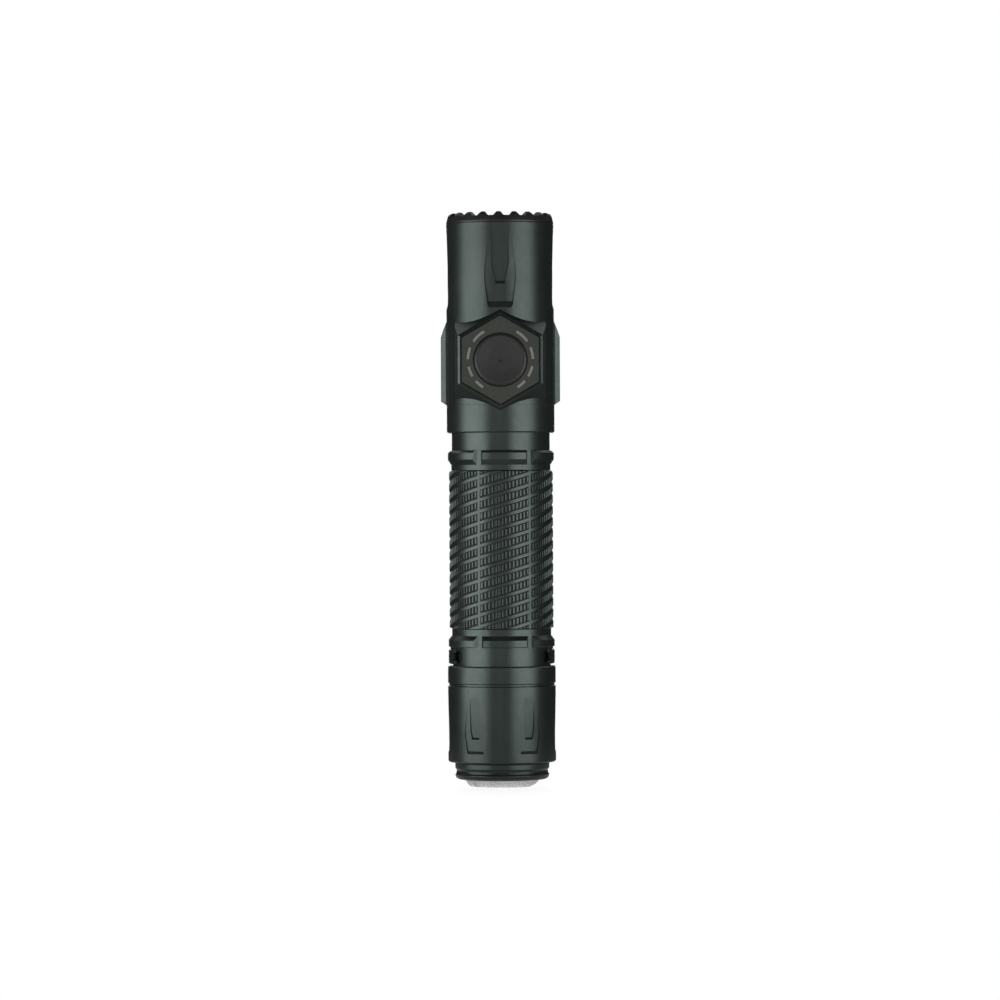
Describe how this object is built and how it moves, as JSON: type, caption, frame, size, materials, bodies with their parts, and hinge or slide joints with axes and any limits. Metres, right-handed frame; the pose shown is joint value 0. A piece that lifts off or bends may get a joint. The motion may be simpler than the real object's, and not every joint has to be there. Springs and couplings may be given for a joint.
{
  "type": "tactical flashlight",
  "caption": "Slim cylindrical duty flashlight with a toothed bezel, a hexagonal side switch, a ribbed grip and a screw-on tail cap with a push button in a steel crown.",
  "frame": {"origin": "centre of the plane that the tail crown's tips stand on", "axes": "+Z along the light's axis, from the tail to the bezel; the side button faces -Y"},
  "size_m": [0.029, 0.028, 0.139],
  "materials": {
    "anodised_body": "fine bead-blasted hard anodising, green-black",
    "black_bezel": "black anodising, satin",
    "bright_steel": "polished stainless steel",
    "spring_steel": "nickel-plated wire",
    "brass": "turned brass",
    "button_black": "fine satin",
    "tail_button_black": "matt rubber over a metal core",
    "silicone": "soft matt silicone",
    "o_ring_rubber": "greased black nitrile",
    "indicator_gloss": "smoked and glossy",
    "indicator_window": "translucent smoke",
    "coated_glass": "anti-reflective coating",
    "reflector_mirror": "vacuum-metallised, smooth",
    "emitter_yellow": "phosphor under clear silicone",
    "white_plastic": "moulded",
    "black_plastic": "moulded",
    "circuit_board": "solder mask over copper",
    "metal_board": "metal-core board with white mask",
    "parts_black": "moulded packages with tinned ends",
    "led_white": "small moulded emitters",
    "wire_insulation": "silicone insulation",
    "cell_wrap": "printed-free sleeve over the can",
    "cell_plate": "nickel plate",
    "insulator_white": "fibre washer"
  },
  "bodies": {
    "housing": {"body_tube": "anodised_body", "head_o_ring": "o_ring_rubber", "tail_o_ring": "o_ring_rubber", "battery_cell": "cell_wrap", "battery_negative_cap": "cell_plate", "battery_insulator": "insulator_white", "battery_positive_cap": "cell_plate", "head_housing": "anodised_body", "bezel_ring": "black_bezel", "front_glass": "coated_glass", "lens_gasket": "silicone", "reflector": "reflector_mirror", "led_board": "metal_board", "led_emitter": "emitter_yellow", "led_centring_ring": "white_plastic", "led_wires": "wire_insulation", "driver_board": "circuit_board", "driver_components": "parts_black", "driver_retaining_ring": "brass", "positive_contact": "brass", "indicator_plate": "indicator_gloss", "indicator_windows": "indicator_window", "indicator_board": "circuit_board", "indicator_leds": "led_white", "button_boot": "silicone", "side_switch": "parts_black", "switch_board": "circuit_board"},
    "side_button": {"side_button": "button_black", "side_switch_plunger": "white_plastic"},
    "tail_contact": {"tail_contact_spring": "spring_steel"},
    "tail_cap": {"tail_cap": "anodised_body", "tail_crown": "bright_steel", "tail_button_seal": "silicone", "tail_return_spring": "spring_steel", "tail_switch": "black_plastic", "tail_switch_holder": "white_plastic", "tail_board": "circuit_board", "tail_retaining_ring": "brass"},
    "tail_button": {"tail_button": "tail_button_black", "tail_plunger": "brass"}
  },
  "joints": [
    {"name": "side_button_press", "type": "slide", "parent": "housing", "child": "side_button", "axis": [0, 1, 0], "range_m": [0, 0.0005], "stiffness_N_per_m": 4000, "springref_m": -0.0004},
    {"name": "cap_advance", "type": "slide", "parent": "housing", "child": "tail_contact", "axis": [0, 0, -1], "range_m": [0, 0.00521]},
    {"name": "cap_turn", "type": "hinge", "parent": "tail_contact", "child": "tail_cap", "pos_m": [0, 0, 0.02], "axis": [0, 0, -1], "range_deg": [0, 1440]},
    {"name": "tail_button_press", "type": "slide", "parent": "tail_cap", "child": "tail_button", "axis": [0, 0, 1], "range_m": [0, 0.0016], "stiffness_N_per_m": 1800, "springref_m": -0.0014, "deforming": ["tail_return_spring"]}
  ],
  "couplings": [
    {"joint": "cap_advance", "follows": "cap_turn", "m_per_rad": 0.0002069}
  ]
}
